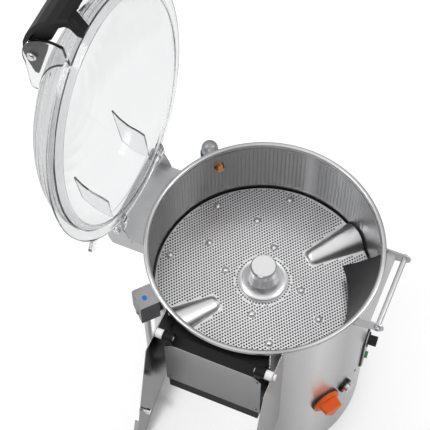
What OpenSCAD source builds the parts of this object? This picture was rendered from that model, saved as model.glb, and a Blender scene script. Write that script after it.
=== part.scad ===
// Electric potato peeler: a stainless drum with a spinning rasp disc, a clear hinged lid,
// a swinging discharge door over a chute, and a belt drive under the drum floor.
// +Z is up, +X points to the lid latch, -X to the lid hinge, -Y to the discharge chute.
// The origin is on the floor, under the centre of the drum. Millimetres.

/* [Drum] */
// Height of the rim's crest above the floor
rim_z = 613; // [560:1:720]
// Radius of the rim's crest
rim_r = 240; // [240:1:244]
// Outer radius of the round housing
shell_r = 238; // [238]
// Sheet thickness of the housing
sheet = 1.5; // [1:0.1:2]
// Clearance of the housing's lower edge over the floor
foot_h = 45; // [35:1:60]
// Depth of the rasp disc's face below the rim's crest
drum_depth = 164; // [160:1:168]

/* [Rasp disc] */
// Outer radius of the rasp disc
disc_r = 229.5; // [226:0.5:230]
// Angle of the disc's first hump, seen from above, from +X
disc_turn = 50.5; // [0:0.5:90]
// Height of the domed cap of the hub above the disc
hub_h = 66; // [60:1:75]
// Radius of the drive shaft
shaft_r = 12.5; // [12:0.5:13]

/* [Chute and door] */
// Half of the outer width over the two cheeks
chute_half = 123; // [122:0.5:124]
// Width of the discharge opening
opening_w = 200; // [196:1:202]
// Depth of the discharge opening's lower edge below the rim's crest
opening_low = 180; // [178:1:184]

/* [Lid] */
// Angle that the open lid stands at, from closed
lid_open = 98.3; // [90:0.1:100]
// Radius of the lid's flange
lid_r = 256; // [254:1:258]
// Height of the dome above the flange
dome_h = 115; // [105:1:120]
// Wall of the clear dome
dome_wall = 4; // [3:0.5:5]

/* [Latch] */
// Distance of the latch bar from the drum's axis
bar_x = 270; // [268:1:272]
// Radius of the latch bar
bar_r = 5.5; // [5:0.5:6.5]
// Half of the length of the latch bar
bar_half = 81; // [81]

/* [Controls] */
// Depth of the rotary switch below the rim's crest
switch_drop = 340; // [330:1:350]
// Radius of the rotary switch's flange
switch_r = 32; // [28:1:33]

/* [Drive] */
// Radius of the large pulley on the disc's shaft
big_pulley_r = 100; // [90:1:104]
// Radius of the small pulley on the motor
small_pulley_r = 28; // [25:1:30]
// Distance of the motor's shaft from the disc's shaft
motor_x = 145; // [142:1:146]

/* [Hidden] */
$fn = 96;
eps = 0.02;

inner_r = shell_r - sheet;
bead_r = 5.5;
liner_out = inner_r - 0.1;
liner_in = liner_out - 2;
disc_z = -drum_depth;
floor_z = -204;
hinge_x = -280;
hinge_z = 22;
hinge_half = 100;
pin_r = 5;
bar_z = -15;
pivot_x = 226;
pivot_z = 75;
handle_half = 78;
door_y = -262;
door_z = -8;
door_face = -270;
rod_r = 5;
nozzle_z = -55;
drain_z = -262;
drain_hole_r = 24.7;
stop_z = -350;
timer_z = -290;
start_z = -368;
panel_z = -336;
gland_z = foot_h - rim_z + 60;
deck_z = -392;
belt_z = -360;
base_z = foot_h - rim_z;
motor_az = 60;
stop_az = 341;
switch_az = 327;
panel_az = 4;
box_az = 228;
nozzle_az = 136;
drain_az = 95;
gland_az = 60;

// ---- shared shapes ----

// Puts what follows at the height of the rim's crest
module at_rim() {
    translate([0, 0, rim_z]) children();
}

// Puts a shape drawn along +X on the housing wall, at angle az and height z from the crest
module on_wall(az, z, r = shell_r) {
    at_rim() rotate([0, 0, az]) translate([r, 0, z]) rotate([0, 90, 0]) children();
}

// A ring or tube
module tube(ro, ri, h) {
    difference() {
        cylinder(r = ro, h = h);
        translate([0, 0, -1]) cylinder(r = ri, h = h + 2);
    }
}

// A closed lid's part, turned to the open lid's place
module on_lid() {
    translate([hinge_x, 0, rim_z + hinge_z]) rotate([0, -lid_open, 0])
        translate([-hinge_x, 0, -hinge_z]) children();
}

// An outline in the XZ plane, given as [x, z], made into a plate from y0 to y1
module xz_plate(y0, y1) {
    translate([0, y1, 0]) rotate([90, 0, 0]) linear_extrude(y1 - y0) children();
}

// An outline in the YZ plane, given as [y, z], made into a plate from x0 to x1
module yz_plate(x0, x1) {
    translate([x0, 0, 0]) rotate([90, 0, 90]) linear_extrude(x1 - x0) children();
}

// A cylinder along X or along Y, from a to b
module rod_x(r, a, b) {
    translate([a, 0, 0]) rotate([0, 90, 0]) cylinder(r = r, h = b - a);
}

module rod_y(r, a, b) {
    translate([0, a, 0]) rotate([-90, 0, 0]) cylinder(r = r, h = b - a);
}

// Takes away all that lies inside the housing, so that a piece seats on its round wall
module outside_shell(gap = 0) {
    difference() {
        children();
        translate([0, 0, -1]) cylinder(r = shell_r + gap, h = rim_z + 60, $fn = 180);
    }
}

// ---- housing and drum ----

// The round housing: one rolled sheet with a rolled bead at the rim
module body_shell() {
    color("silver") difference() {
        union() {
            translate([0, 0, foot_h]) difference() {
                cylinder(r = shell_r, h = -base_z - bead_r, $fn = 180);
                translate([0, 0, -1]) cylinder(r = inner_r, h = -base_z, $fn = 180);
            }
            at_rim() translate([0, 0, -bead_r]) rotate_extrude($fn = 180)
                translate([rim_r, 0]) circle(r = bead_r, $fn = 32);
        }
        // discharge opening
        at_rim() translate([-opening_w / 2, -shell_r - 20, -opening_low])
            cube([opening_w, 80, opening_low - 20]);
        // holes for the nozzle, drain, gland and controls
        on_wall(nozzle_az, nozzle_z, 220) cylinder(r = 9.5, h = 40);
        on_wall(drain_az, drain_z, 220) cylinder(r = drain_hole_r, h = 40);
        on_wall(gland_az, gland_z, 220) cylinder(r = 8.2, h = 40);
        on_wall(switch_az, -switch_drop, 220) cylinder(r = 11, h = 40);
        on_wall(stop_az, stop_z, 220) cylinder(r = 11.3, h = 40);
        on_wall(panel_az, timer_z, 220) cylinder(r = 7, h = 40);
        on_wall(panel_az, start_z, 220) cylinder(r = 8.5, h = 40);
        on_wall(box_az, -380, 220) cylinder(r = 7.2, h = 40);
    }
}

// The drum's floor: a shallow dished pan with a turned-up edge and a collar for the bearing
module drum_floor() {
    pan = [[34, 16], [36, 16], [36, 2.5], [74, 0.4], [212, -3], [inner_r - 2, -3], [inner_r - 2, 18],
        [inner_r, 18], [inner_r, -5], [212, -5], [74, -1.6], [34, -1.6]];
    color("lightgray") at_rim() translate([0, 0, floor_z]) difference() {
        rotate_extrude($fn = 180) polygon(pan);
        rotate([0, 0, drain_az]) translate([188, 0, -20]) cylinder(r = drain_hole_r, h = 40);
    }
}

// The rasp lining of the drum wall: a rolled sheet that butts at a smooth seam
module wall_liner() {
    color("darkgray") at_rim() difference() {
        translate([0, 0, disc_z - 12]) difference() {
            cylinder(r = liner_out, h = drum_depth, $fn = 180);
            translate([0, 0, -1]) cylinder(r = liner_in, h = drum_depth + 2, $fn = 180);
        }
        translate([-opening_w / 2, -shell_r - 20, -opening_low])
            cube([opening_w, 80, opening_low - 20]);
        on_wall_local(nozzle_az, nozzle_z, 220) cylinder(r = 9.5, h = 40);
    }
}

module on_wall_local(az, z, r) {
    rotate([0, 0, az]) translate([r, 0, z]) rotate([0, 90, 0]) children();
}

// The deflector on the drum wall: flush with the wall at the top and deep at its foot, so
// that its face leans inward; it ends in a flat face at one side and fades out at the other
module baffle() {
    foot = disc_z + 30;
    color("dimgray") at_rim() difference() {
        translate([0, 0, foot]) cylinder(r = liner_in, h = -foot - 14, $fn = 160);
        hull() {
            translate([-44, -66, foot - 1]) cylinder(r = 241, h = 1, $fn = 128);
            translate([-2, -3, -13]) cylinder(r = 237, h = 1, $fn = 128);
        }
        rotate([6, 0, 1.6]) translate([-400, 64, -400]) cube([800, 400, 800]);
        translate([-400, -400, -400]) cube([500, 800, 800]);
    }
}

// The brass spray nozzle: a round head with a bevelled face and its tail through the wall
module spray_nozzle() {
    head = liner_in - 5.3;
    color("peru") on_wall(nozzle_az, nozzle_z, 0) {
        translate([0, 0, head]) cylinder(r = 11, h = 5);
        translate([0, 0, head - 3]) cylinder(r1 = 7.5, r2 = 10.5, h = 3 + eps);
        translate([0, 0, head + 4]) cylinder(r = 9.2, h = 13);
    }
}

// The water inlet outside: a cast elbow that turns down behind the drum, with the socket in
// its flange that the nozzle's tail screws into
module inlet_elbow() {
    color("gray") on_wall(nozzle_az, nozzle_z, 0) difference() {
        union() {
            translate([0, 0, shell_r + 0.1]) cylinder(r = 20, h = 5);
            translate([0, 0, shell_r + 5 - eps]) cylinder(r = 15, h = 44);
            translate([0, 0, shell_r + 49]) sphere(r = 18);
            translate([0, 0, shell_r + 49]) rotate([0, 90, 0]) cylinder(r = 17.9, h = 10);
            translate([0, 0, shell_r + 49]) rotate([0, 90, 0]) cylinder(r = 14, h = 38);
            translate([0, 0, shell_r + 49]) rotate([0, 90, 0]) cylinder(r = 13.2, h = 58);
        }
        translate([0, 0, shell_r - 1]) cylinder(r = 9.3, h = 10);
    }
}

// The blue union nut under the elbow, which takes the supply hose
module inlet_collar() {
    color("midnightblue") on_wall(nozzle_az, nozzle_z, 0) translate([0, 0, shell_r + 49])
        rotate([0, 90, 0]) translate([0, 0, 15.4]) tube(20.5, 14.1, 21);
}

// The drain spout under the floor: a bend that leads out through the back of the housing
module drain_spout() {
    pipe_r = 24.6;
    bore_r = 23.2;
    bend = 38;
    color("lightgray") at_rim() rotate([0, 0, drain_az]) {
        translate([188, 0, drain_z + bend]) tube(pipe_r, bore_r, 17);
        translate([188 + bend, 0, drain_z + bend]) rotate([90, 180, 0])
            rotate_extrude(angle = 90) translate([bend, 0]) difference() {
                circle(r = pipe_r);
                circle(r = bore_r);
            }
        translate([188 + bend, 0, drain_z]) rotate([0, 90, 0]) tube(pipe_r, bore_r, 20);
        translate([244, 0, drain_z]) rotate([0, 90, 0]) tube(25, bore_r, 50);
    }
}

// ---- lid hinge and latch on the drum ----

// The folded sheet bracket that carries the lid: a top, an end, two sides and two ears
module hinge_bracket() {
    ear = [[-303, -10], [-296, 24], [-292, 33], [-280, 38], [-268, 33], [-262, 24], [-250, -10]];
    side = [[-304, -8], [-304, -26], [-296, -44], [-222, -44], [-222, -8]];
    color("silver") at_rim() outside_shell_at_rim() union() {
        translate([-304, -97, -9.5]) cube([84, 194, 1.5]);
        translate([-304, -97, -26]) cube([1.5, 194, 18]);
        for (s = [-1, 1]) {
            xz_plate(s > 0 ? 95.5 : -97, s > 0 ? 97 : -95.5) polygon(side);
            difference() {
                xz_plate(s > 0 ? 97 : -100, s > 0 ? 100 : -97) polygon(ear);
                translate([hinge_x, 0, hinge_z]) rod_y(pin_r, s > 0 ? 96 : -101,
                    s > 0 ? 101 : -96);
            }
        }
    }
}

module outside_shell_at_rim() {
    difference() {
        children();
        translate([0, 0, -500]) cylinder(r = shell_r, h = 494.5 + 1, $fn = 180);
        translate([0, 0, -bead_r]) rotate_extrude($fn = 180) translate([rim_r, 0])
            circle(r = bead_r, $fn = 32);
        translate([0, 0, -40]) cylinder(r = rim_r, h = 80, $fn = 180);
    }
}

// The two shoulder screws that the lid turns on
module hinge_pins() {
    color("gainsboro") at_rim() translate([hinge_x, 0, hinge_z]) for (s = [-1, 1])
        rotate([s > 0 ? 0 : 180, 0, 0]) {
            rod_y(pin_r, 82, 100);
            difference() {
                rod_y(7.5, 100, 104);
                rod_y(3, 102, 105);
            }
        }
}

// The latch bracket: a shelf on the drum wall with two round-ended arms
module latch_bracket() {
    color("silver") at_rim() outside_shell_at_rim() union() {
        translate([225, -84, -14]) cube([27, 168, 2]);
        translate([225, -84, -32]) cube([27, 168, 2]);
        translate([250, -84, -32]) cube([2, 168, 20]);
        for (s = [-1, 1]) xz_plate(s > 0 ? 81 : -84, s > 0 ? 84 : -81) difference() {
            union() {
                translate([bar_x, bar_z]) circle(r = 13);
                polygon([[205, -2], [bar_x, bar_z + 13], [bar_x, bar_z - 13], [205, -46]]);
            }
            translate([bar_x, bar_z]) circle(r = 4.2);
        }
    }
}

// The round latch bar
module latch_bar() {
    color("gainsboro") at_rim() translate([bar_x, 0, bar_z]) rod_y(bar_r, -bar_half, bar_half);
}

// The two socket screws that hold the bar between the arms
module latch_screws() {
    color("gray") at_rim() translate([bar_x, 0, bar_z]) for (s = [-1, 1])
        rotate([s > 0 ? 0 : 180, 0, 0]) difference() {
            union() {
                rod_y(4.2, bar_half, 84);
                rod_y(6.5, 84, 89);
            }
            translate([0, 86, 0]) rotate([-90, 0, 0]) cylinder(r = 3, h = 4, $fn = 6);
        }
}

// ---- chute ----

// The two cheeks of the chute, with a folded lip down their front edges
module chute_cheeks() {
    outline = [[-150, -1], [-309, -1], [-375, -232], [-416, -346], [-416, -372], [-150, -340]];
    color("silver") at_rim() outside_shell_at_rim() for (s = [-1, 1])
        difference() {
            union() {
                yz_plate(s > 0 ? chute_half - 1.5 : -chute_half,
                    s > 0 ? chute_half : -chute_half + 1.5) polygon(outline);
                yz_plate(s > 0 ? chute_half - eps : -chute_half - 8, s > 0 ? chute_half + 8
                    : -chute_half + eps) polygon([[-370.6, -222], [-372.2, -222],
                    [-415.9, -345], [-414.4, -345]]);
            }
            translate([0, door_y, door_z]) rod_x(4.1, -130, 130);
            translate([0, -352, -198]) rod_x(4.1, -130, 130);
        }
}

// The sloping floor of the chute, with a turned-down lip at its end
module chute_floor() {
    slope = [[-150, -200], [-416, -348], [-416, -370], [-414.5, -370], [-414.5, -350],
        [-150, -202.5]];
    color("gainsboro") at_rim() outside_shell_at_rim()
        yz_plate(-chute_half + 1.6, chute_half - 1.6) polygon(slope);
}

// The bolts near the cheeks' front edges
module chute_studs() {
    color("gainsboro") at_rim() translate([0, -352, -198]) for (s = [-1, 1])
        rotate([0, s > 0 ? 0 : 180, 0]) {
            rod_x(4, chute_half - 12, chute_half + 4);
            rod_x(6, chute_half - 18, chute_half - 10);
            rod_x(7, chute_half + eps, chute_half + 4);
        }
}

// The white bushes that the door turns in, each screwed to its cheek from outside
module door_bushes() {
    color("white") at_rim() translate([0, door_y, door_z]) for (s = [-1, 1])
        rotate([0, s > 0 ? 0 : 180, 0]) {
            difference() {
                rod_x(9.5, 107, chute_half - 1.6);
                rod_x(rod_r + 0.06, 100, 117);
            }
            rod_x(4, chute_half - 2, chute_half + 1);
            rod_x(7, chute_half + 0.05, chute_half + 5);
        }
}

// ---- discharge door ----

// The moulded door: a thick block whose inner face follows the drum wall, with an eye at
// each end and a lip below the plate
module door_block() {
    back = [[-190, -21.5], [-248, -21], [door_face, -26], [door_face, -226], [-262, -226],
        [-262, -190], [-190, -190]];
    half = opening_w / 2 - 2;
    color([0.09, 0.09, 0.1]) at_rim() difference() {
        union() {
            intersection() {
                yz_plate(-half, half) polygon(back);
                union() {
                    translate([0, door_y, door_z]) rod_x(170, -half - 1, half + 1);
                    translate([-half - 1, door_face - 1, -227]) cube([2 * half + 2, 9, 60]);
                }
            }
            for (s = [-1, 1]) {
                translate([s > 0 ? 86 : -106, door_y, door_z]) rod_x(11, 0, 20);
                translate([s > 0 ? 86 : -half, door_y - 8, door_z - 24])
                    cube([half - 86, 22, 22]);
            }
        }
        translate([0, 0, -300]) cylinder(r = shell_r - 2, h = 400, $fn = 180);
        translate([0, door_y, door_z]) for (s = [-1, 1]) rod_x(rod_r, s > 0 ? 84 : -107,
            s > 0 ? 107 : -84);
    }
}

// The stainless plate screwed on the door's face, with clipped upper corners
module door_plate() {
    color("silver") at_rim() difference() {
        xz_plate(door_face - 2, door_face) polygon([[-102, -38], [-90, -26], [90, -26],
            [102, -38], [102, -188], [-102, -188]]);
        for (x = [-92, 92], z = [-42, -178]) translate([x, 0, z]) rod_y(2.2, door_face - 3,
            door_face + 1);
    }
    color("gainsboro") at_rim() for (x = [-92, 92], z = [-42, -178]) translate([x, 0, z])
        union() {
            rod_y(2.2, door_face - 2, door_face);
            rod_y(4.2, door_face - 4, door_face - 2);
        }
}

// The two pins in the door's eyes, which turn in the white bushes
module door_pins() {
    color("gainsboro") at_rim() translate([0, door_y, door_z]) for (s = [-1, 1])
        rod_x(rod_r, s > 0 ? 84 : -116, s > 0 ? 116 : -84);
}

// ---- lid sensor ----

// The sensor's housing under the rim, with the tube that takes its wires down
module sensor_box() {
    color("silver") at_rim() rotate([0, 0, box_az]) difference() {
        translate([243, -23, -80]) cube([39, 46, 62]);
        translate([246, -20, -78]) cube([40, 40, 57]);
        translate([265, 0, -90]) cylinder(r = 5, h = 20);
    }
}

// The sensor housing's outer cover
module sensor_cover() {
    color("lightgray") at_rim() rotate([0, 0, box_az]) difference() {
        translate([282.1, -23, -80]) cube([1.5, 46, 59]);
        translate([270, 0, -70]) rod_x(2.2, 0, 20);
    }
    color("gainsboro") at_rim() rotate([0, 0, box_az]) translate([0, 0, -70])
        rod_x(4, 283.6, 286);
}

// The black gasket between the sensor's housing and the drum wall
module sensor_gasket() {
    color([0.1, 0.1, 0.1]) outside_shell() at_rim() rotate([0, 0, box_az])
        translate([230, -16, -72]) cube([13, 32, 50]);
}

// The blue sensing spot on top of the sensor's housing
module sensor_lens() {
    color("dodgerblue") at_rim() rotate([0, 0, box_az]) translate([266, 2, -18])
        cylinder(r = 5, h = 1.5);
}

// The wire tube from the sensor's housing down to the machine room
module conduit_tube() {
    color("gray") at_rim() rotate([0, 0, box_az]) {
        translate([265, 0, -360]) tube(7, 5.5, 279.9);
        translate([245, 0, -360]) rotate([90, 0, 0]) rotate_extrude(angle = -90)
            translate([20, 0]) difference() {
                circle(r = 7);
                circle(r = 5.5);
            }
        translate([228, 0, -380]) rotate([0, 90, 0]) tube(7, 5.5, 17);
    }
}

// ---- controls ----

// The black sealing ring behind the rotary switch
module switch_gasket() {
    color([0.12, 0.1, 0.1]) outside_shell() on_wall(switch_az, -switch_drop, 233)
        tube(switch_r + 1, 11, 9);
}

// The contact blocks of the rotary switch and of the stop button, inside the housing
module contact_blocks() {
    color([0.2, 0.2, 0.22]) {
        on_wall(switch_az, -switch_drop, 0) difference() {
            union() {
                translate([-24, -24, 182]) cube([48, 48, 40]);
                translate([0, 0, 222 - eps]) cylinder(r = 10.5, h = 17);
            }
            translate([0, 0, 200]) cylinder(r = 3.06, h = 50);
        }
        on_wall(stop_az, stop_z, 0) difference() {
            translate([-20, -16, 186]) cube([40, 32, 42]);
            translate([0, 0, 206]) cylinder(r = 8.3, h = 50);
        }
    }
}

// The orange rotary switch: a flange, a tapered three-lobed grip and its square shaft
module selector_knob() {
    color("orangered") on_wall(switch_az, -switch_drop, 242.3) {
        cylinder(r = switch_r, h = 4);
        translate([0, 0, 4 - eps]) cylinder(r1 = switch_r - 3, r2 = switch_r - 5, h = 3);
        hull() for (a = [0, 110, 250]) rotate([0, 0, a]) {
            translate([19, 0, 6.9]) cylinder(r = 6, h = 0.2, $fn = 24);
            translate([17, 0, 28.9]) cylinder(r = 5, h = 0.2, $fn = 24);
        }
        translate([0, 0, -38]) cylinder(r = 3, h = 39);
    }
}

// The black collar round the stop button
module stop_collar() {
    color([0.13, 0.13, 0.14]) outside_shell() on_wall(stop_az, stop_z, 234) tube(17, 11.4, 11);
}

// An oblong with round ends, w wide and h long
module oblong(w, h, t) {
    hull() for (s = [-1, 1]) translate([s * (h - w) / 2, 0, 0]) cylinder(r = w / 2, h = t);
}

// The gasket behind the control plate
module panel_gasket() {
    color([0.1, 0.1, 0.1]) outside_shell() on_wall(panel_az, panel_z, 232) difference() {
        oblong(50, 138, 9);
        translate([-46, 0, -1]) cylinder(r = 9, h = 12);
        translate([32, 0, -1]) cylinder(r = 9, h = 12);
    }
}

// The stainless control plate that carries the timer and the start button
module panel_plate() {
    color("silver") on_wall(panel_az, panel_z, 241) difference() {
        oblong(45, 133, 2);
        translate([-46, 0, -1]) cylinder(r = 6.2, h = 4);
        translate([32, 0, -1]) cylinder(r = 8.3, h = 4);
    }
}

// The timer and contactor block behind the control plate
module control_unit() {
    color([0.75, 0.76, 0.72]) on_wall(panel_az, panel_z, 0) difference() {
        union() {
            translate([-68, -26, 170]) cube([114, 52, 38]);
            translate([-46, 0, 208 - eps]) cylinder(r = 6, h = 34.4);
        }
        translate([-46, 0, 200]) cylinder(r = 3.06, h = 60);
        translate([32, 0, 186]) cylinder(r = 8.3, h = 30);
    }
}

// The timer's knob: a round skirt, a fluted grip and the spindle behind it
module timer_knob() {
    color([0.09, 0.09, 0.1]) on_wall(panel_az, timer_z, 0) {
        translate([0, 0, 206]) cylinder(r = 3, h = 38);
        translate([0, 0, 243.4]) cylinder(r = 17, h = 2.5);
        translate([0, 0, 245.9 - eps]) difference() {
            cylinder(r = 11.5, h = 17);
            for (a = [0:30:330]) rotate([0, 0, a]) translate([12, 0, 2])
                cylinder(r = 1.2, h = 16);
        }
    }
}

// The green start button and its plunger
module start_button() {
    color("green") on_wall(panel_az, start_z, 194) cylinder(r = 8, h = 55);
}

// The steel stop button and its plunger
module stop_button() {
    color("gainsboro") on_wall(stop_az, stop_z, 0) {
        translate([0, 0, 214]) cylinder(r = 8, h = 31);
        translate([0, 0, 243]) cylinder(r = 11, h = 11);
    }
}

// ---- base ----

// The base plate that closes the housing, with vent slots
module base_plate() {
    color("gray") translate([0, 0, foot_h]) difference() {
        cylinder(r = inner_r - 0.1, h = 3, $fn = 180);
        for (a = [0:90:270]) rotate([0, 0, a + 45]) translate([190, 0, -1])
            cylinder(r = 5.2, h = 6);
        for (x = [-60:24:60]) translate([x - 4, -50, -1]) cube([8, 100, 6]);
    }
}

// The four rubber feet
module feet() {
    color([0.1, 0.1, 0.1]) for (a = [0:90:270]) rotate([0, 0, a + 45]) translate([190, 0, 0])
        difference() {
            union() {
                cylinder(r = 21, h = 12);
                translate([0, 0, 12 - eps]) cylinder(r1 = 21, r2 = 15, h = 10);
            }
            translate([0, 0, 8]) cylinder(r = 5, h = 20);
        }
}

// The threaded studs that level the feet, each with its lock nut
module foot_studs() {
    color("gainsboro") for (a = [0:90:270]) rotate([0, 0, a + 45]) translate([190, 0, 0]) {
        translate([0, 0, 8]) cylinder(r = 5, h = 54);
        translate([0, 0, foot_h - 8]) cylinder(r = 10, h = 8, $fn = 6);
        translate([0, 0, foot_h + 3]) cylinder(r = 10, h = 8, $fn = 6);
    }
}

// ---- drive ----

// The cast bearing housing bolted up under the drum floor
module bearing_housing() {
    color("dimgray") at_rim() difference() {
        union() {
            translate([0, 0, floor_z - 9]) cylinder(r = 70, h = 7.4);
            translate([0, 0, floor_z - 128]) cylinder(r = 38, h = 120);
            translate([0, 0, floor_z - 5]) cylinder(r = 33.8, h = 26);
            for (a = [0:60:300]) rotate([0, 0, a]) translate([30, -3, floor_z - 60])
                cube([34, 6, 52]);
        }
        translate([0, 0, floor_z - 140]) cylinder(r = 22, h = 200);
        translate([0, 0, floor_z - 130]) cylinder(r = 26, h = 17);
        translate([0, 0, floor_z - 18]) cylinder(r = 26, h = 31);
        translate([0, 0, floor_z + 12.9]) cylinder(r = 23.5, h = 10);
        for (a = [30:60:330]) rotate([0, 0, a]) translate([58, 0, floor_z - 20])
            cylinder(r = 4.3, h = 30);
    }
}

// A ball bearing with its shields closed
module ball_bearing() {
    difference() {
        cylinder(r = 26, h = 15);
        translate([0, 0, -1]) cylinder(r = shaft_r + 0.05, h = 17);
        translate([0, 0, -eps]) tube(22.5, 16.5, 1);
        translate([0, 0, 14 + eps]) tube(22.5, 16.5, 1);
    }
}

module shaft_bearings() {
    color("gainsboro") at_rim() for (z = [floor_z - 2.1, floor_z - 128])
        translate([0, 0, z]) ball_bearing();
}

// The lip seal that keeps water out of the bearings
module shaft_seal() {
    color([0.15, 0.12, 0.1]) at_rim() translate([0, 0, floor_z + 13]) tube(23.4, 12.7, 7);
}

// The deck across the machine room, which carries the motor
module motor_deck() {
    color("gray") at_rim() difference() {
        translate([0, 0, deck_z]) cylinder(r = inner_r - 0.1, h = 4, $fn = 180);
        translate([0, 0, deck_z - 1]) cylinder(r = 45, h = 6);
        rotate([0, 0, motor_az]) translate([motor_x, 0, deck_z - 1]) cylinder(r = 34, h = 6);
        rotate([0, 0, motor_az]) for (a = [45:90:315]) translate([motor_x, 0, deck_z - 1])
            rotate([0, 0, a]) translate([50, 0, 0]) cylinder(r = 4.1, h = 6);
        for (a = [190, 250]) rotate([0, 0, a]) translate([150, 0, deck_z - 1])
            cylinder(r = 40, h = 6);
    }
}

// The motor hung under the deck: a finned frame between two end bells, and its wiring box
module motor_body() {
    color([0.25, 0.3, 0.36]) at_rim() rotate([0, 0, motor_az])
        translate([motor_x, 0, deck_z - 155]) difference() {
            union() {
                cylinder(r = 56, h = 140);
                translate([0, 0, 140 - eps]) cylinder(r = 64, h = 15);
                cylinder(r = 62, h = 32);
                for (a = [0:15:345]) rotate([0, 0, a]) translate([54, -1.2, 36])
                    cube([8, 2.4, 98]);
                translate([-92, -25, 50]) cube([45, 50, 60]);
            }
            translate([0, 0, 120]) cylinder(r = 9.55, h = 40);
            for (a = [45:90:315]) rotate([0, 0, a]) translate([50, 0, 145])
                cylinder(r = 4, h = 20);
        }
}

// A hexagon bolt, its head on z = 0 and its shank below
module hex_bolt(length) {
    translate([0, 0, -length]) cylinder(r = 4, h = length + eps);
    cylinder(r = 7.5, h = 5.5, $fn = 6);
}

// The bolts that hold the motor to the deck, and the bearing housing to the drum floor
module drive_bolts() {
    color("gainsboro") at_rim() {
        rotate([0, 0, motor_az]) for (a = [45:90:315]) translate([motor_x, 0, deck_z + 4])
            rotate([0, 0, a]) translate([50, 0, 0]) hex_bolt(14);
        for (a = [30:60:330]) rotate([0, 0, a]) translate([58, 0, floor_z - 9])
            rotate([180, 0, 0]) hex_bolt(7.4);
    }
}

// The motor's shaft
module motor_shaft() {
    color("gainsboro") at_rim() rotate([0, 0, motor_az]) translate([motor_x, 0, deck_z - 34])
        cylinder(r = 9.5, h = 86);
}

// The ribbed running face of a belt pulley
module pulley(r, h, bore) {
    groove = 2.4;
    n = floor((h - 6) / groove);
    rim = [for (i = [0:n]) each [[r - 1.6, 3 + i * groove], [r, 3 + (i + 0.5) * groove]]];
    difference() {
        rotate_extrude() polygon(concat([[bore, 0], [r + 1.5, 0], [r + 1.5, 2.6], [r - 1.6, 3]],
            rim, [[r - 1.6, h - 3], [r + 1.5, h - 2.6], [r + 1.5, h], [bore, h]]));
        if (r > 60) for (a = [0:60:300]) rotate([0, 0, a]) translate([r * 0.6, 0, -1])
            cylinder(r = r * 0.19, h = h + 2);
    }
}

module driven_pulley() {
    color("silver") at_rim() {
        translate([0, 0, belt_z - 11]) pulley(big_pulley_r, 22, shaft_r);
        translate([0, 0, belt_z + 11 - eps]) tube(26, shaft_r, 6);
    }
}

module motor_pulley() {
    color("silver") at_rim() rotate([0, 0, motor_az]) translate([motor_x, 0, belt_z - 11])
        pulley(small_pulley_r, 22, 9.5);
}

// Points of a closed line round both pulleys
function belt_points(r1, r2, n) = let (lean = acos((r1 - r2) / motor_x)) concat(
    [for (i = [0:n]) let (a = lean + (360 - 2 * lean) * i / n) [r1 * cos(a), r1 * sin(a)]],
    [for (i = [0:n]) let (a = -lean + 2 * lean * i / n) [motor_x + r2 * cos(a), r2 * sin(a)]]);

// The flat belt round both pulleys
module drive_belt() {
    r1 = big_pulley_r + 0.5;
    r2 = small_pulley_r + 0.5;
    color([0.12, 0.12, 0.12]) at_rim() rotate([0, 0, motor_az]) translate([0, 0, belt_z - 7])
        linear_extrude(14) difference() {
            polygon(belt_points(r1 + 3, r2 + 3, 40));
            polygon(belt_points(r1, r2, 40));
        }
}

// The motor's run capacitor, clipped under the deck
module run_capacitor() {
    color([0.85, 0.85, 0.82]) at_rim() rotate([0, 0, 150]) translate([150, 0, deck_z - 90])
        union() {
            cylinder(r = 20, h = 90);
            translate([0, 0, 88]) cylinder(r = 23, h = 2);
        }
}

// The cable gland at the back
module cable_gland() {
    color([0.14, 0.14, 0.15]) on_wall(gland_az, gland_z, 0) {
        translate([0, 0, 222]) cylinder(r = 8.1, h = 16.2);
        translate([0, 0, shell_r + 0.1]) cylinder(r = 13, h = 6, $fn = 6);
        translate([0, 0, shell_r + 6]) tube(10.5, 5, 12);
    }
}

// ---- disc and shaft ----

// The rasp disc: a sheet with two pressed humps, on a carrier with a folded edge
module rasp_disc() {
    color("gainsboro") at_rim() difference() {
        union() {
            translate([0, 0, disc_z - 4]) cylinder(r = disc_r, h = 4, $fn = 180);
            translate([0, 0, disc_z - 12]) tube(disc_r, disc_r - 2, 10);
            translate([0, 0, disc_z - 14]) cylinder(r = 40, h = 12);
            for (a = [0, 180]) rotate([0, 0, disc_turn + a]) hump();
        }
        translate([0, 0, disc_z - 20]) cylinder(r = shaft_r, h = 30);
    }
}

// One hump: a lying cone that points at the hub, sunk so that it rises about 27 mm at the
// disc's edge, with a bevelled inner end
module hump() {
    inner = 116;
    grow = tan(9.9);
    difference() {
        intersection() {
            translate([0, 0, disc_z]) rotate([0, 93.3, 0]) union() {
                translate([0, 0, inner]) cylinder(r1 = inner * grow, r2 = 245 * grow,
                    h = 245 - inner);
                translate([0, 0, inner - 6]) cylinder(r1 = 17, r2 = inner * grow, h = 6 + eps);
                translate([0, 0, inner - 9]) cylinder(r1 = 12, r2 = 17, h = 3 + eps);
            }
            translate([0, 0, disc_z]) cylinder(r = disc_r - 0.2, h = 60, $fn = 180);
        }
        translate([0, -60, disc_z - 61]) cube([300, 120, 60]);
    }
}

// The domed rivets that hold the sheet on its carrier
module disc_rivets() {
    spots = [[208, -45], [208, 0], [208, 45], [147, -23.5], [147, 23.5], [83, -45],
        [83, 45]];
    color("white") at_rim() for (half = [90, 270], s = spots)
        rotate([0, 0, disc_turn + half + s[1]]) translate([s[0], 0, disc_z])
            rotate_extrude($fn = 24) polygon([[0, 0], [6, 0], [5.6, 1.4], [4.2, 2.7],
                [2.2, 3.4], [0, 3.6]]);
}

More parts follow.
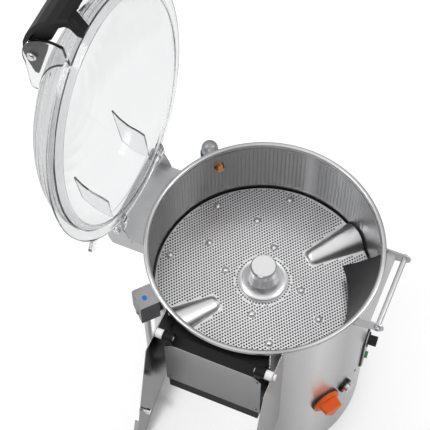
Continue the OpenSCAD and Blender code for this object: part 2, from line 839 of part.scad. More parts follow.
// The spun hub cone with a lipped foot, stepped side and flat cap
module hub_cone() {
    z0 = disc_z;
    top = disc_z + hub_h;
    wall = [[shaft_r, z0], [51, z0], [52, z0 + 2], [52, z0 + 6], [50.5, z0 + 8],
        [48, z0 + 7], [46, z0 + 5.5], [43, z0 + 7], [40.5, z0 + 14], [39.5, z0 + 17],
        [35, z0 + 28], [34, z0 + 32], [31, z0 + 44], [29.5, z0 + 50], [28.5, top - 8],
        [27.5, top - 3], [25, top], [0, top], [0, top - 8], [shaft_r, top - 8]];
    color("gainsboro") at_rim() difference() {
        rotate_extrude() polygon(wall);
        translate([3, -30, top - 2.5]) cylinder(r = 7, h = 5);
    }
}

// The vanes under the disc, which push the peel to the drain
module sweep_vanes() {
    color("darkgray") at_rim() rotate([0, 0, disc_turn]) for (a = [0, 180]) rotate([0, 0, a])
        translate([41, -2, disc_z - 26]) cube([180, 4, 22]);
}

// The drive shaft, with the shoulder that carries the disc
module main_shaft() {
    color("gray") at_rim() {
        translate([0, 0, belt_z - 22]) cylinder(r = shaft_r, h = hub_h + disc_z - belt_z + 13.9);
        translate([0, 0, belt_z - 20]) cylinder(r = 19, h = 9 - eps, $fn = 6);
    }
}

// ---- lid ----

// Points on the dome's section, from the foot to the crown
function dome_arc(r, h, n) = [for (i = [0:n]) [r * cos(90 * i / n), 3 + h * sin(90 * i / n)]];

// The clear lid: a domed shell with a flange, a skirt that drops into the drum, two hinge
// lugs and two ears for the latch handle, moulded as one
module lid_dome() {
    n = 14;
    outer = dome_arc(237, dome_h, n);
    inside = dome_arc(237 - dome_wall, dome_h - dome_wall, n);
    color([0.85, 0.9, 0.92, 0.35]) on_lid() union() {
        rotate_extrude($fn = 144) polygon([[lid_r, 0.6], [lid_r, 5], [lid_r - 1.5, 6.5],
            [236.5, 6.5], [236.5, 3], [221, -6], [221, -8], [224, -8], [234, 0.6]]);
        difference() {
            rotate_extrude($fn = 144) polygon(concat([[233, 3]], outer, [[0, 3]]));
            rotate_extrude($fn = 144) polygon(concat([[0, 2]], [[233, 2]], inside));
        }
        difference() {
            union() {
                for (s = [-1, 1]) {
                    xz_plate(s > 0 ? 82 : -88, s > 0 ? 88 : -82) ear_outline();
                    xz_plate(s > 0 ? 80 : -96, s > 0 ? 96 : -80) lug_outline();
                }
            }
            rotate_extrude($fn = 144) polygon(concat([[0, -20], [230, -20], [233, 2]],
                inside));
            translate([pivot_x, 0, pivot_z]) rod_y(4.06, -100, 100);
            translate([hinge_x, 0, hinge_z]) rod_y(pin_r + 0.06, -100, 100);
        }
    }
}

// The ear's side view: a round end over the flange and a straight run back along the dome
module ear_outline() {
    union() {
        intersection() {
            translate([214, 36]) circle(r = 60);
            translate([140, 5]) square([200, 120]);
        }
        polygon([[130, 92], [132, 99], [138, 103], [206, 95.4], [240, 60], [200, 10]]);
    }
}

// The hinge lug's side view: an eye round the pin and an arm to the flange
module lug_outline() {
    union() {
        translate([hinge_x, hinge_z]) circle(r = 13);
        polygon([[-292, 17], [-268, 27], [-228, 6], [-228, 0.6], [-262, 0.6]]);
    }
}

// The two deflector fins inside the lid
module lid_fins() {
    blade = [[-92, 63], [-200, 62], [-214, 46], [-221, 24], [-220, 8], [-150, 4], [-142, 14],
        [-131, 35], [-114, 51]];
    color([0.7, 0.74, 0.76, 0.5]) on_lid() intersection() {
        union() {
            xz_plate(50, 54) polygon(blade);
            xz_plate(-116, -112) polygon(blade);
        }
        rotate_extrude($fn = 96) polygon(concat([[0, 3]], dome_arc(232.5, dome_h - 4.5, 14)));
    }
}

// The magnet holder on the lid's flange, which closes over the sensor
module lid_magnet() {
    color([0.8, 0.82, 0.84]) on_lid() rotate([0, 0, box_az]) difference() {
        translate([256.2, -11, -2]) cube([21, 22, 8]);
        translate([266, 0, -3]) cylinder(r = 4, h = 4);
    }
}

// The black latch handle: a curved cover, a hook near each end and two pivoted end plates
module latch_handle() {
    cover = [[229, 97], [248, 92], [268, 81], [286, 67.5], [303, 50], [318, 27], [330, 2],
        [337.5, -19], [330, -21], [322, 1], [311, 23], [297, 44], [281, 60], [264, 73],
        [246, 83], [229, 88]];
    hook = [[204, 84], [214, 93], [229, 97], [248, 92], [268, 81], [286, 67.5], [303, 50],
        [318, 27], [330, 2], [337.5, -19], [316.5, -28], [299, -36.5], [286, -31.5],
        [279.5, -25.5], [281, -17], [289, -12], [297, -6.5], [298, 4], [290, 17.5],
        [268, 31], [255, 39.5], [244, 56], [228, 62], [210, 70]];
    end = [[172, 88], [200, 94], [229, 97], [246, 70], [255, 39.5], [238, 46], [170, 81]];
    color([0.07, 0.07, 0.08]) on_lid() difference() {
        union() {
            xz_plate(-handle_half, handle_half) polygon(cover);
            for (s = [-1, 1]) {
                xz_plate(s > 0 ? 52 : -66, s > 0 ? 66 : -52) polygon(hook);
                xz_plate(s > 0 ? handle_half - 5 : -handle_half,
                    s > 0 ? handle_half : -handle_half + 5) polygon(end);
            }
        }
        translate([pivot_x, 0, pivot_z]) rod_y(4.08, -90, 90);
    }
}

// The two pivot screws of the handle, with washers under their heads
module handle_screws() {
    color("gainsboro") on_lid() translate([pivot_x, 0, pivot_z]) for (s = [-1, 1])
        rotate([s > 0 ? 0 : 180, 0, 0]) {
            rod_y(4, 54, 89);
            rod_y(9, 88.1, 89.6);
            rod_y(6, 89, 94);
        }
}

body_shell();
drum_floor();
wall_liner();
baffle();
spray_nozzle();
inlet_elbow();
inlet_collar();
hinge_bracket();
hinge_pins();
latch_bracket();
latch_bar();
latch_screws();
chute_cheeks();
chute_floor();
chute_studs();
door_bushes();
sensor_box();
sensor_cover();
sensor_gasket();
sensor_lens();
conduit_tube();
switch_gasket();
contact_blocks();
stop_collar();
panel_plate();
panel_gasket();
control_unit();
base_plate();
feet();
foot_studs();
bearing_housing();
shaft_bearings();
shaft_seal();
motor_deck();
motor_body();
drive_bolts();
run_capacitor();
drain_spout();
cable_gland();
rasp_disc();
disc_rivets();
hub_cone();
sweep_vanes();
main_shaft();
driven_pulley();
motor_shaft();
motor_pulley();
drive_belt();
lid_dome();
lid_fins();
lid_magnet();
latch_handle();
handle_screws();
door_block();
door_plate();
door_pins();
selector_knob();
timer_knob();
start_button();
stop_button();
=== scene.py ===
import math
import bpy
import numpy as np
from mathutils import Matrix, Vector


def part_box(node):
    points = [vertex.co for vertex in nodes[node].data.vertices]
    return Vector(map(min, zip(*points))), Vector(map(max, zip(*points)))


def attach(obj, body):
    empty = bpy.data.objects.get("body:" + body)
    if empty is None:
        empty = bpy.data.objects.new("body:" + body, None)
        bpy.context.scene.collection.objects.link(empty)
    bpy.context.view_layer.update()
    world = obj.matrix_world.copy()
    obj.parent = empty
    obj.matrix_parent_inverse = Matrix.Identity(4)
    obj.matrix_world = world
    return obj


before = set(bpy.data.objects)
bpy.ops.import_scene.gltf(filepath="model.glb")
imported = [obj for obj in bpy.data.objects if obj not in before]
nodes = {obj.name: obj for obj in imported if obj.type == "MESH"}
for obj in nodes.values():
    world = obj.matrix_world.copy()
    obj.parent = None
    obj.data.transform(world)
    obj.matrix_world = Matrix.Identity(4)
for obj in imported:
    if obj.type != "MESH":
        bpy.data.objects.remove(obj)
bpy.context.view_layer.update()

# ---- camera ----
# A long lens that looks down into the open drum from the chute's side. Its place and its three
# axes were fitted to the photo at an assumed focal length.
camera_at = Vector((0.42699, -1.20746, 2.89643))
camera_right = Vector((0.92030, 0.39112, -0.00916))
camera_up = Vector((-0.33286, 0.79509, 0.50700))
camera_look = Vector((-0.20562, 0.46353, -0.86190))
lens = bpy.data.cameras.new("camera")
lens.lens = 108.84
lens.sensor_width = 36
lens.clip_end = 50
camera = bpy.data.objects.new("camera", lens)
camera.matrix_world = Matrix.Translation(camera_at) @ Matrix(
    (camera_right, camera_up, -camera_look)).transposed().to_4x4()
bpy.context.scene.collection.objects.link(camera)
bpy.context.scene.camera = camera
bpy.context.scene.view_settings.view_transform = "Standard"


# ---- studio ----
# A white floor, a pale room that darkens towards its horizon so that steel has something to
# mirror, and two soft lamps.
def add(tree, kind, inputs=None, **settings):
    """Adds a node. inputs maps a socket's name or number to a value or to a socket to link."""
    made = tree.nodes.new(kind)
    for key, value in settings.items():
        setattr(made, key, value)
    for key, value in (inputs or {}).items():
        if isinstance(value, bpy.types.NodeSocket):
            tree.links.new(value, made.inputs[key])
        else:
            made.inputs[key].default_value = value
    return made


def sums(tree, operation, a, b=0.0, c=0.5, clamp=False):
    """One arithmetic step on two or three numbers or sockets."""
    return add(tree, "ShaderNodeMath", {0: a, 1: b, 2: c}, operation=operation,
               use_clamp=clamp).outputs[0]


def between(tree, share, low, high):
    """low where share is 0, high where it is 1."""
    return add(tree, "ShaderNodeMix", {0: share, 2: low, 3: high}).outputs[0]


def ramp(tree, value, stops):
    """Grey levels along value; stops holds (place, level)."""
    made = add(tree, "ShaderNodeValToRGB", {0: value})
    steps = made.color_ramp.elements
    while len(steps) < len(stops):
        steps.new(0.5)
    for step, (place, level) in zip(steps, stops):
        step.position = place
        step.color = (level, level, level, 1)
    return made.outputs[0]


world = bpy.data.worlds.new("studio")
bpy.context.scene.world = world
world.use_nodes = True
sky = world.node_tree
toward = add(sky, "ShaderNodeSeparateXYZ",
             {0: add(sky, "ShaderNodeTexCoord").outputs["Generated"]})
height = sums(sky, "MULTIPLY_ADD", toward.outputs[2], 0.5, 0.5)
turn = sums(sky, "ARCTAN2", toward.outputs[1], toward.outputs[0])
waves_round, wave_depth, wave_middle = 3.0, 0.16, 0.9
wave = sums(sky, "SINE", sums(sky, "MULTIPLY", turn, waves_round))
level = ramp(sky, height, [(0.0, 0.7), (0.48, 0.4), (0.58, 0.3), (0.74, 0.6), (0.88, 1.0),
                           (1.0, 0.98)])
tone = sums(sky, "MULTIPLY_ADD", wave, wave_depth, wave_middle)
path = add(sky, "ShaderNodeLightPath")
seen = sums(sky, "ADD", path.outputs["Is Camera Ray"], path.outputs["Is Transmission Ray"],
            clamp=True)
sky.links.new(between(sky, seen, sums(sky, "MULTIPLY", level, tone), 1.0),
              sky.nodes["Background"].inputs["Color"])
sky.nodes["Background"].inputs["Strength"].default_value = 1.0

floor_half, floor_z, floor_glow = 6.0, -0.001, 0.32
floor_mesh = bpy.data.meshes.new("floor")
floor_mesh.from_pydata([(-floor_half, -floor_half, floor_z), (floor_half, -floor_half, floor_z),
                        (floor_half, floor_half, floor_z), (-floor_half, floor_half, floor_z)],
                       [], [(0, 1, 2, 3)])
floor = bpy.data.objects.new("floor", floor_mesh)
bpy.context.scene.collection.objects.link(floor)
floor_paint = bpy.data.materials.new("floor_white")
floor_paint.use_nodes = True
tree = floor_paint.node_tree
tree.nodes.clear()
path = add(tree, "ShaderNodeLightPath")
seen = sums(tree, "ADD", path.outputs["Is Camera Ray"], path.outputs["Is Transmission Ray"],
            clamp=True)
glow = add(tree, "ShaderNodeEmission",
           {"Color": (1, 1, 1, 1), "Strength": sums(tree, "MULTIPLY", seen, floor_glow)})
matte = add(tree, "ShaderNodeBsdfDiffuse", {"Color": (0.8, 0.8, 0.8, 1)})
both = add(tree, "ShaderNodeAddShader", {0: glow.outputs[0], 1: matte.outputs[0]})
add(tree, "ShaderNodeOutputMaterial", {"Surface": both.outputs[0]})
floor_mesh.materials.append(floor_paint)


def lamp(name, place, aim, size, power):
    """A square soft lamp at place that shines at aim."""
    light = bpy.data.lights.new(name, "AREA")
    light.size = size
    light.energy = power
    made = bpy.data.objects.new(name, light)
    made.matrix_world = Matrix.Translation(Vector(place)) @ (
        Vector(place) - Vector(aim)).to_track_quat("Z", "Y").to_matrix().to_4x4()
    bpy.context.scene.collection.objects.link(made)


drum_middle = (0, 0, 0.5)
lamp("lamp_left", (-1.7, -0.7, 2.6), drum_middle, size=1.0, power=26)
lamp("lamp_right", (1.9, 0.5, 2.2), drum_middle, size=0.7, power=15)


# ---- housing ----
# The round housing is one rolled stainless sheet with a rolled bead at the rim; the brackets,
# plates and boxes on it are cut and folded from the same sheet, all with a brushed finish.
def group(name, inputs, outputs):
    """An empty node group; inputs holds (name, default), outputs holds (name, socket kind)."""
    made = bpy.data.node_groups.new(name, "ShaderNodeTree")
    for title, value in inputs:
        kind = "NodeSocketVector" if isinstance(value, tuple) else "NodeSocketFloat"
        socket = made.interface.new_socket(name=title, in_out="INPUT", socket_type=kind)
        socket.default_value = value
    for title, kind in outputs:
        made.interface.new_socket(name=title, in_out="OUTPUT", socket_type=kind)
    given = made.nodes.new("NodeGroupInput").outputs
    return made, given, made.nodes.new("NodeGroupOutput").inputs


def grain_group(name, about_axis):
    """Streak is fine noise on the place times Stretch, Cloud is wide noise on it times Patch.
    about_axis first turns the place into its angle about Z, distance from Z and height."""
    made, given, out = group(name, [("Stretch", (1.0, 1.0, 1.0)), ("Size", 100.0),
                                    ("Patch", (14.0, 14.0, 14.0))],
                             [("Streak", "NodeSocketFloat"), ("Cloud", "NodeSocketFloat")])
    place = add(made, "ShaderNodeTexCoord").outputs["Object"]
    spot = place
    if about_axis:
        part = add(made, "ShaderNodeSeparateXYZ", {0: place})
        flat = add(made, "ShaderNodeCombineXYZ", {0: part.outputs[0], 1: part.outputs[1]})
        out_by = add(made, "ShaderNodeVectorMath", {0: flat.outputs[0]}, operation="LENGTH")
        angle = sums(made, "ARCTAN2", part.outputs[1], part.outputs[0])
        spot = add(made, "ShaderNodeCombineXYZ", {0: angle, 1: out_by.outputs["Value"],
                                                  2: part.outputs[2]}).outputs[0]
    pulled = add(made, "ShaderNodeVectorMath", {0: spot, 1: given["Stretch"]},
                 operation="MULTIPLY").outputs[0]
    fine = add(made, "ShaderNodeTexNoise",
               {"Vector": pulled, "Scale": given["Size"], "Detail": 3.0})
    broad = add(made, "ShaderNodeVectorMath", {0: spot, 1: given["Patch"]},
                operation="MULTIPLY").outputs[0]
    wide = add(made, "ShaderNodeTexNoise", {"Vector": broad, "Scale": 1.0, "Detail": 1.0})
    made.links.new(fine.outputs[0], out["Streak"])
    made.links.new(wide.outputs[0], out["Cloud"])
    return made


def edge_group():
    """Softened corners and a mask that is 1 on them: it grows where the true normal and one
    averaged over Reach are further apart than flat_below."""
    flat_below, gain = 0.96, 4.0
    made, given, out = group("soft_edge", [("Reach", 0.0008)],
                             [("Normal", "NodeSocketVector"), ("Edge", "NodeSocketFloat")])
    soft = add(made, "ShaderNodeBevel", {"Radius": given["Reach"]}, samples=4).outputs[0]
    true = add(made, "ShaderNodeNewGeometry").outputs["Normal"]
    alike = add(made, "ShaderNodeVectorMath", {0: soft, 1: true}, operation="DOT_PRODUCT")
    made.links.new(soft, out["Normal"])
    apart = sums(made, "SUBTRACT", flat_below, alike.outputs["Value"])
    made.links.new(sums(made, "MULTIPLY", apart, gain, clamp=True), out["Edge"])
    return made


grain = grain_group("grain", False)
round_grain = grain_group("round_grain", True)
soft_edge = edge_group()


def shades(tree, share, dark, light):
    """The colour dark where share is 0, light where it is 1."""
    return add(tree, "ShaderNodeMix", {0: share, 6: (*dark, 1), 7: (*light, 1)},
               data_type="RGBA").outputs[2]


def finish(name, colour, rough, kind=grain, stretch=(1, 1, 1), size=300.0, vary=0.12,
           rough_vary=0.05, bump=0.01, metallic=0.0, edge=0.25, reach=0.0005, coat=0.0,
           patch=(14, 14, 14), specular=0.5):
    """A material whose colour and roughness vary with the streaks and clouds, with softened
    corners that carry a painted highlight. Returns the material and its shader."""
    made = bpy.data.materials.new(name)
    made.use_nodes = True
    tree = made.node_tree
    shader = tree.nodes["Principled BSDF"]
    marks = add(tree, "ShaderNodeGroup", node_tree=kind)
    marks.inputs["Stretch"].default_value = stretch
    marks.inputs["Size"].default_value = size
    marks.inputs["Patch"].default_value = patch
    corner = add(tree, "ShaderNodeGroup", node_tree=soft_edge)
    corner.inputs["Reach"].default_value = reach
    mixed = sums(tree, "MULTIPLY", sums(tree, "ADD", marks.outputs["Streak"],
                                        marks.outputs["Cloud"]), 0.5)
    dark = [c * (1 - vary) for c in colour]
    light = [min(c * (1 + vary), 1.0) for c in colour]
    paint = shades(tree, mixed, dark, light)
    # Painted highlight: the corners are made lighter by the share edge.
    corner_highlight = [min(c * (1 + edge) + 0.02 * edge, 1.0) for c in colour]
    corner_highlight = add(tree, "ShaderNodeMix", {0: corner.outputs["Edge"], 6: paint, 7: (*corner_highlight, 1)},
               data_type="RGBA").outputs[2]
    tree.links.new(corner_highlight, shader.inputs["Base Color"])
    tree.links.new(between(tree, mixed, rough - rough_vary, rough + rough_vary),
                   shader.inputs["Roughness"])
    raised = add(tree, "ShaderNodeBump", {"Strength": bump, "Distance": 0.001,
                                          "Height": marks.outputs["Streak"],
                                          "Normal": corner.outputs["Normal"]})
    tree.links.new(raised.outputs[0], shader.inputs["Normal"])
    shader.inputs["Metallic"].default_value = metallic
    shader.inputs["Coat Weight"].default_value = coat
    shader.inputs["Specular IOR Level"].default_value = specular
    return made, shader


def dress(material, *names):
    """Gives these CAD nodes one material."""
    for name in names:
        nodes[name].data.materials.clear()
        nodes[name].data.materials.append(material)


def place_of(tree, output):
    """The three numbers of a place or a normal in the object's own frame."""
    return add(tree, "ShaderNodeSeparateXYZ",
               {0: add(tree, "ShaderNodeTexCoord").outputs[output]}).outputs


def darken(tree, shader, level):
    """Multiplies the shader's colour by a grey level."""
    before = shader.inputs["Base Color"].links[0].from_socket
    after = add(tree, "ShaderNodeMix", {0: 1.0, 6: before, 7: level}, data_type="RGBA",
                blend_type="MULTIPLY").outputs[2]
    tree.links.new(after, shader.inputs["Base Color"])


def turn_group():
    """The share of a whole turn round +Z, counted from -X."""
    made, _, out = group("drum_turn", [], [("Turn", "NodeSocketFloat")])
    place = place_of(made, "Object")
    angle = sums(made, "ARCTAN2", place[1], place[0])
    made.links.new(sums(made, "MULTIPLY_ADD", angle, 0.5 / math.pi, 0.5), out["Turn"])
    return made


drum_turn = turn_group()


def painted_light_bands(material, shader, stops):
    """Soft upright bands of painted reflection and shade round the drum; stops holds (share of the
    turn from -X, level).
    """
    tree = material.node_tree
    turn = add(tree, "ShaderNodeGroup", node_tree=drum_turn).outputs["Turn"]
    darken(tree, shader, ramp(tree, turn, stops))


shell_steel, shader = finish("housing_steel", (0.86, 0.86, 0.87), 0.32, round_grain, (2, 1, 90),
                             14.0, metallic=1.0, vary=0.2, patch=(4, 3, 1))
# Painted reflections: soft upright light and dark bands round the housing, brightest at the front
# right.
painted_light_bands(shell_steel, shader, [(0.0, 0.75), (0.12, 0.95), (0.2, 0.7), (0.27, 0.8), (0.335, 0.58),
                            (0.388, 1.0), (0.435, 0.66), (0.5, 0.9), (0.6, 0.65), (0.72, 0.95),
                            (0.86, 0.68), (1.0, 0.75)])
dress(shell_steel, "body_shell")
sheet_steel, _ = finish("folded_steel", (0.60, 0.60, 0.61), 0.34, grain, (3, 60, 60), 6.0,
                        metallic=1.0)
dress(sheet_steel, "hinge_bracket", "latch_bracket", "panel_plate", "base_plate", "drain_spout",
      "conduit_tube", "drum_floor", "motor_deck")


def revolve(section, sides):
    """Points of a section turned about +Z: row k of the result is the section's (distance,
    height) at angle 2 pi k / sides."""
    angle = np.linspace(0, 2 * np.pi, sides, endpoint=False)[:, None]
    section = np.asarray(section, float)
    return np.stack([np.cos(angle) * section[:, 0], np.sin(angle) * section[:, 0],
                     np.zeros_like(angle) + section[:, 1]], -1)


def closed_grid(rows, columns, copies=1):
    """Quads that join each row of a grid to the next, the last row to the first; copies such
    grids follow each other in the vertex list."""
    row, column = np.meshgrid(np.arange(rows), np.arange(columns - 1), indexing="ij")
    after = (row + 1) % rows
    quads = np.stack([row * columns + column, after * columns + column,
                      after * columns + column + 1, row * columns + column + 1], -1)
    return quads.reshape(1, -1, 4) + np.arange(copies)[:, None, None] * rows * columns


def piece(name, points, faces, body, materials, which=None, smooth=False):
    """A mesh object of the machine. which holds each face's material number."""
    mesh = bpy.data.meshes.new(name)
    mesh.from_pydata(np.asarray(points).reshape(-1, 3).tolist(), [], faces)
    for material in materials:
        mesh.materials.append(material)
    if which is not None:
        mesh.polygons.foreach_set("material_index", np.asarray(which, np.int32))
    mesh.polygons.foreach_set("use_smooth", np.full(len(mesh.polygons), smooth))
    mesh.update()
    made = bpy.data.objects.new(name, mesh)
    bpy.context.scene.collection.objects.link(made)
    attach(made, body)
    return made


def on_wall(points, angle, z, out):
    """Turns points drawn about +Z so that their +Z points out of the round wall."""
    a = math.radians(angle)
    outward = np.array([math.cos(a), math.sin(a), 0])
    across = np.array([-math.sin(a), math.cos(a), 0])
    return ((points[..., 2:] + out) * outward + points[..., :1] * across
            + points[..., 1:2] * np.array([0, 0, 1.0]) + np.array([0, 0, z]))


# ---- rasp lining ----
# A rolled sheet with columns of small pressed teeth, each an open louvre. It has a smooth seam
# at the back and a smooth polished stretch beside the deflector.
rim_z, liner_r = 0.613, 0.2344
seam_from, seam_to = 83.0, 90.0
polished_from, polished_to = 26.0, 47.0
opening_half, opening_top = 0.1, rim_z - 0.020
side_room, top_room, rim_room = 0.003, 0.004, 0.016
teeth_low, teeth_high = rim_z - 0.154, rim_z - 0.018
nozzle_angle, nozzle_z, nozzle_room = 136.0, rim_z - 0.055, 0.014
lift = 0.00002
liner_steel, shader = finish("lining_steel", (0.62, 0.62, 0.63), 0.34, round_grain, (2, 1, 60),
                             14.0, metallic=1.0, vary=0.25, patch=(5, 3, 4))
# Painted shade and highlight: the lining darkens towards -X, and a narrow painted highlight runs
# up the seam at the back.
painted_light_bands(liner_steel, shader, [(0.0, 0.34), (0.25, 0.6), (0.45, 0.8), (0.62, 0.6), (0.70, 0.62),
                            (0.728, 0.66), (0.742, 1.0), (0.756, 0.66), (0.83, 0.56),
                            (0.9, 0.42), (1.0, 0.34)])
dress(liner_steel, "wall_liner")
mouth_shade, _ = finish("mouth_shade", (0.20, 0.20, 0.20), 0.5, size=900.0, edge=0.0)
dark_hole, _ = finish("hole_shadow", (0.012, 0.012, 0.013), 0.7, size=900.0, edge=0.0)


def teeth(angle, z):
    """Louvres on the inside of the lining: a base of four points on the wall, and a lip of two
    points that stands off it above the base's middle. One row of six points a tooth."""
    half_w, half_h, lip_w, lip_z, proud = 0.0013, 0.0018, 0.0009, 0.0010, 0.0009
    across = np.array([-half_w, half_w, half_w, -half_w, -lip_w, lip_w])
    up = np.array([-half_h, -half_h, half_h, half_h, lip_z, lip_z])
    off = np.array([0, 0, 0, 0, proud, proud])
    a = np.radians(angle)[:, None] + across / liner_r
    out = liner_r - lift - off
    return np.stack([np.cos(a) * out, np.sin(a) * out, z[:, None] + up + 0 * a], -1)


column_step, row_step = 2.1, 0.0068
angles = np.arange(0, 360, column_step)
rows = np.arange(teeth_low, teeth_high, row_step)
spot_a, spot_z = (v.ravel() for v in np.meshgrid(angles, rows, indexing="ij"))
spot_z = spot_z + (np.round(spot_a / column_step).astype(int) % 2) * row_step / 2
wall_x, wall_y = liner_r * np.cos(np.radians(spot_a)), liner_r * np.sin(np.radians(spot_a))
keep = ~((spot_a > seam_from) & (spot_a < seam_to))
keep &= ~((spot_a > polished_from) & (spot_a < polished_to))
keep &= ~((np.abs(wall_x) < opening_half + side_room) & (wall_y < 0)
          & (spot_z < opening_top + top_room))
keep &= spot_z < rim_z - rim_room
from_nozzle = np.radians(spot_a - nozzle_angle) * liner_r
keep &= np.hypot(from_nozzle, spot_z - nozzle_z) > nozzle_room
louvres = teeth(spot_a[keep], spot_z[keep])
start = np.arange(len(louvres))[:, None] * louvres.shape[1]
slopes = (start + np.array([1, 0, 4, 5])).tolist()
mouths = (start + np.array([3, 2, 5, 4])).tolist()
left_sides = (start + np.array([0, 3, 4])).tolist()
right_sides = (start + np.array([2, 1, 5])).tolist()
piece("lining_teeth", louvres, slopes + left_sides + right_sides + mouths, "housing",
      [liner_steel, mouth_shade], [0] * (3 * len(start)) + [1] * len(start))


# ---- deflector ----
# A smooth dark moulding on the lining with a satin face. It turns the potatoes over as the disc
# carries them past.
deflector_grey, _ = finish("deflector_grey", (0.020, 0.020, 0.0215), 0.36, size=60.0,
                           bump=0.005, vary=0.2, specular=0.4)
dress(deflector_grey, "baffle")


# ---- rasp disc ----
# A stainless sheet punched with rows of raised-lip holes, riveted to a carrier that has two
# pressed plain humps. The rows run along the humps, every other row moved by half a hole.
disc_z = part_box("hub_cone")[0].z
disc_turn = math.radians(50.5)
disc_steel, _ = finish("disc_steel", (0.90, 0.90, 0.91), 0.32, round_grain, (1, 40, 40), 12.0,
                       metallic=1.0, bump=0.004, vary=0.12, edge=0.05, patch=(3, 20, 3))
dress(disc_steel, "rasp_disc")
rivet_steel, _ = finish("rivet_steel", (0.90, 0.90, 0.91), 0.18, size=80.0, metallic=1.0,
                        vary=0.05, bump=0.002, reach=0.0002)
dress(rivet_steel, "disc_rivets")
hole_step, hole_row, count = 0.00594, 0.00639, 42
steps = np.arange(-count, count + 1)
i, j = (v.ravel() for v in np.meshgrid(steps, steps))
along = (i + 0.5 * (j % 2)) * hole_step
aside = j * hole_row
distance = np.hypot(along, aside)
hub_room, disc_edge, rivet_room = 0.060, 0.2262, 0.0092
hump_from, hump_slope, hump_room = 0.104, math.tan(math.radians(10.6)), 0.001
keep = (distance > hub_room) & (distance < disc_edge)
keep &= ~((np.abs(along) > hump_from)
          & (np.abs(aside) < np.abs(along) * hump_slope + hump_room))
# Each half has the same rivets: millimetres from the axis, degrees from the line across the humps.
rivets = [(208, -45), (208, 0), (208, 45), (147, -23.5), (147, 23.5), (83, -45), (83, 45)]
rivet_at = np.array([(r / 1000 * math.cos(math.radians(a + half)),
                      r / 1000 * math.sin(math.radians(a + half)))
                     for half in (90, 270) for r, a in rivets])
near = np.hypot(along[:, None] - rivet_at[:, 0], aside[:, None] - rivet_at[:, 1])
keep &= near.min(1) > rivet_room


def on_disc(x, y):
    """Turns places drawn with the humps along X to the disc's rest angle."""
    return np.stack([x * math.cos(disc_turn) - y * math.sin(disc_turn),
                     x * math.sin(disc_turn) + y * math.cos(disc_turn)], -1)


def craters(middles, section, sides):
    """A copy of the revolved section at each middle on the disc's face."""
    ring = revolve(section, sides)
    flat = np.concatenate([middles, np.full((len(middles), 1), disc_z)], 1)
    return flat[:, None, None, :] + ring[None]


hole_section = [(0.0025, lift), (0.0021, 0.00024), (0.00195, 0.00006)]
middles = on_disc(along[keep], aside[keep])
foot_count, foot_r = 52, 0.0556
foot_angle = np.linspace(0, 2 * np.pi, foot_count, endpoint=False)
foot = np.stack([foot_r * np.cos(foot_angle), foot_r * np.sin(foot_angle)], -1)
middles = np.concatenate([middles, foot])
sides, rings = 8, len(hole_section)
holes = craters(middles, hole_section, sides)
quads = closed_grid(sides, rings, len(middles)).reshape(-1, 4)
floors = (np.arange(len(middles))[:, None] * sides * rings + np.arange(sides) * rings
          + rings - 1)
outer = quads[:, 0] % rings == 0
faces = quads[outer].tolist() + quads[~outer].tolist() + floors.tolist()
which = [0] * int(outer.sum()) + [1] * int((~outer).sum() + len(floors))
piece("disc_teeth", holes, faces, "rotor", [disc_steel, dark_hole], which)
collar_steel, _ = finish("rivet_seat", (0.34, 0.34, 0.35), 0.34, size=200.0, metallic=1.0)
collar_section = [(0.0088, lift), (0.0084, 0.0003), (0.0070, 0.0003), (0.0062, lift)]
collar_sides = 24
collars = craters(on_disc(rivet_at[:, 0], rivet_at[:, 1]), collar_section, collar_sides)
quads = closed_grid(collar_sides, len(collar_section), len(rivet_at)).reshape(-1, 4)
piece("rivet_collars", collars, quads.tolist(), "rotor", [collar_steel], smooth=True)

# ---- hub and shaft ----
# The spun hub cone has a fine satin finish. The shaft is turned, the vanes are cut sheet and the
# pulleys below are cast; the motor and the bearing housing are painted.
hub_steel, _ = finish("hub_steel", (0.94, 0.94, 0.95), 0.36, round_grain, (1, 30, 60), 10.0,
                      metallic=1.0, vary=0.06, bump=0.003, reach=0.0003, patch=(3, 10, 3))
dress(hub_steel, "hub_cone")
bright_steel, _ = finish("bright_steel", (0.80, 0.80, 0.81), 0.20, size=120.0, metallic=1.0,
                         vary=0.06, rough_vary=0.03, bump=0.003, reach=0.0002)
dress(bright_steel, "hinge_pins", "handle_screws", "chute_studs", "door_pins", "stop_button",
      "main_shaft", "motor_shaft", "shaft_bearings")
zinc_steel, _ = finish("zinc_steel", (0.52, 0.53, 0.55), 0.36, size=240.0, metallic=1.0)
dress(zinc_steel, "latch_screws", "foot_studs", "drive_bolts", "sweep_vanes")
cast_metal, _ = finish("cast_alloy", (0.40, 0.41, 0.42), 0.5, size=420.0, metallic=1.0, bump=0.25)
dress(cast_metal, "driven_pulley", "motor_pulley")
iron_paint, _ = finish("painted_iron", (0.07, 0.08, 0.09), 0.5, size=500.0, bump=0.3)
dress(iron_paint, "bearing_housing")
motor_enamel, _ = finish("motor_enamel", (0.05, 0.08, 0.12), 0.4, size=500.0, bump=0.2)
dress(motor_enamel, "motor_body")

# ---- nozzle and inlet ----
# A turned brass nozzle on the lining, under the rim, duller and redder than polished brass.
# Outside the wall, a cast elbow with a dark blue collar feeds it.
nozzle_brass, _ = finish("nozzle_brass", (0.72, 0.33, 0.13), 0.3, size=400.0, metallic=1.0,
                         vary=0.2)
dress(nozzle_brass, "spray_nozzle")
dress(cast_metal, "inlet_elbow")
collar_blue, _ = finish("collar_blue", (0.02, 0.02, 0.16), 0.3, size=300.0)
dress(collar_blue, "inlet_collar")
